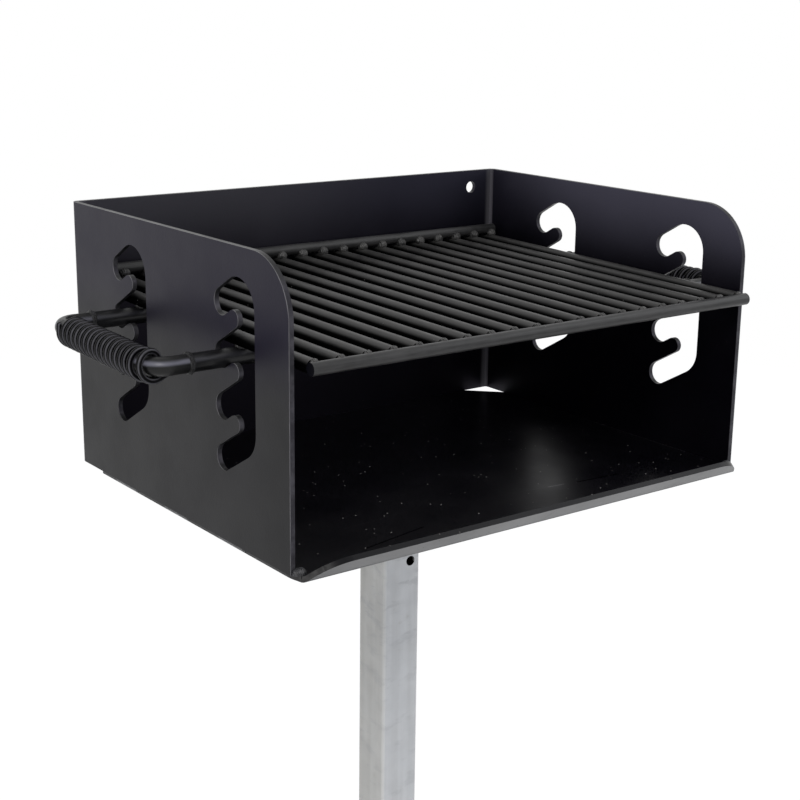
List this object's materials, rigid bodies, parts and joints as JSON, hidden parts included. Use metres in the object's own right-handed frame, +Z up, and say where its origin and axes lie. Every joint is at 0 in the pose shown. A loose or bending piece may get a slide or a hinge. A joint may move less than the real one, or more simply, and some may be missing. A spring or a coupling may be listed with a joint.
{
  "type": "park grill",
  "caption": "Post-mounted park charcoal grill: open-front steel firebox with slotted sides, a sliding welded rod grate with spring-grip handles, and a bolt-down square post.",
  "frame": {"origin": "centre of the base plate's underside, on the axis of the post", "axes": "+Z up, -Y out of the firebox's open front, +X to the right as seen from the front"},
  "size_m": [0.6748, 0.4022, 0.894],
  "materials": {
    "firebox_paint": "semi-gloss black heat-proof enamel, worn grey at its edges",
    "firebox_weld": "ribbed weld bead under thin black enamel",
    "galvanised_steel": "hot-dip galvanised, satin, faint vertical streaks",
    "galvanised_weld": "galvanised fillet weld",
    "zinc_hardware": "zinc-plated",
    "grate_bar": "thin black paint over drawn steel bar",
    "grate_weld": "bright as-welded bead with spatter",
    "grip_wire": "satin black wire",
    "cooking_rod": "dark mill finish with a thin black coat"
  },
  "bodies": {
    "grill": {"firebox_wrap": "firebox_paint", "floor_plate": "firebox_paint", "firebox_welds": "firebox_weld", "post": "galvanised_steel", "post_top_plate": "galvanised_steel", "base_plate": "galvanised_steel", "post_welds": "galvanised_weld", "mounting_studs": "zinc_hardware", "mounting_washers": "zinc_hardware", "mounting_nuts": "zinc_hardware"},
    "grate": {"grate_front_bar": "grate_bar", "grate_rear_bar": "grate_bar", "front_support_bar": "grate_bar", "rear_support_bar": "grate_bar", "front_rod_welds": "grate_weld", "rear_rod_welds": "grate_weld", "front_support_welds": "grate_weld", "rear_support_welds": "grate_weld", "left_handle_bar": "grate_bar", "right_handle_bar": "grate_bar", "left_handle_welds": "grate_weld", "right_handle_welds": "grate_weld", "left_grip_spring": "grip_wire", "right_grip_spring": "grip_wire", "cooking_rod_01": "cooking_rod", "cooking_rod_02": "cooking_rod", "cooking_rod_03": "cooking_rod", "cooking_rod_04": "cooking_rod", "cooking_rod_05": "cooking_rod", "cooking_rod_06": "cooking_rod", "cooking_rod_07": "cooking_rod", "cooking_rod_08": "cooking_rod", "cooking_rod_09": "cooking_rod", "cooking_rod_10": "cooking_rod", "cooking_rod_11": "cooking_rod", "cooking_rod_12": "cooking_rod", "cooking_rod_13": "cooking_rod", "cooking_rod_14": "cooking_rod", "cooking_rod_15": "cooking_rod", "cooking_rod_16": "cooking_rod", "cooking_rod_17": "cooking_rod", "cooking_rod_18": "cooking_rod", "cooking_rod_19": "cooking_rod", "cooking_rod_20": "cooking_rod"}
  },
  "joints": [
    {"name": "grate_slide", "type": "slide", "parent": "grill", "child": "grate", "axis": [0, -0.866, 0.5], "range_m": [0, 0.043]}
  ]
}
